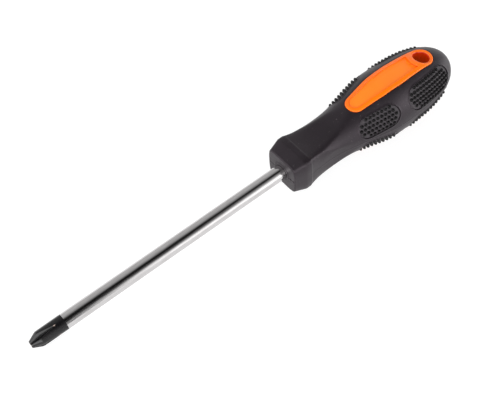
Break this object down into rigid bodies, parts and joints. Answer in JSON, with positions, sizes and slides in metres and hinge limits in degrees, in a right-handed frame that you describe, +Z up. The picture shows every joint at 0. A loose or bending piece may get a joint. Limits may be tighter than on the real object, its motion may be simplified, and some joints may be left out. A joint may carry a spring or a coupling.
{
  "type": "cross-tip screwdriver",
  "caption": "Cross-tip screwdriver, 8 mm round chrome blade with a black point, orange core under a black soft grip with nub pads and a hanging hole.",
  "frame": {"origin": "centre of the tool's bounding box, on the surface that it lies on", "axes": "+X from the point towards the butt, +Z up, out of the upper window; +Y completes the right-handed set"},
  "size_m": [0.264, 0.038, 0.0373],
  "materials": {
    "chrome": "bright chrome plate with fine drawing lines",
    "black_coating": "black phosphate on steel, satin",
    "orange_plastic": "satin moulded polypropylene",
    "soft_grip": "matt soft grip, finely spark-textured",
    "nub_rubber": "smoother and darker soft grip"
  },
  "bodies": {
    "root": {"blade_shank": "chrome", "blade_tip": "black_coating", "handle_core": "orange_plastic", "grip": "soft_grip", "nub_pad_front_1": "nub_rubber", "nub_pad_front_2": "nub_rubber", "nub_pad_front_3": "nub_rubber", "nub_pad_front_4": "nub_rubber", "nub_pad_rear_1": "nub_rubber", "nub_pad_rear_2": "nub_rubber", "nub_pad_rear_3": "nub_rubber", "nub_pad_rear_4": "nub_rubber"}
  },
  "joints": []
}
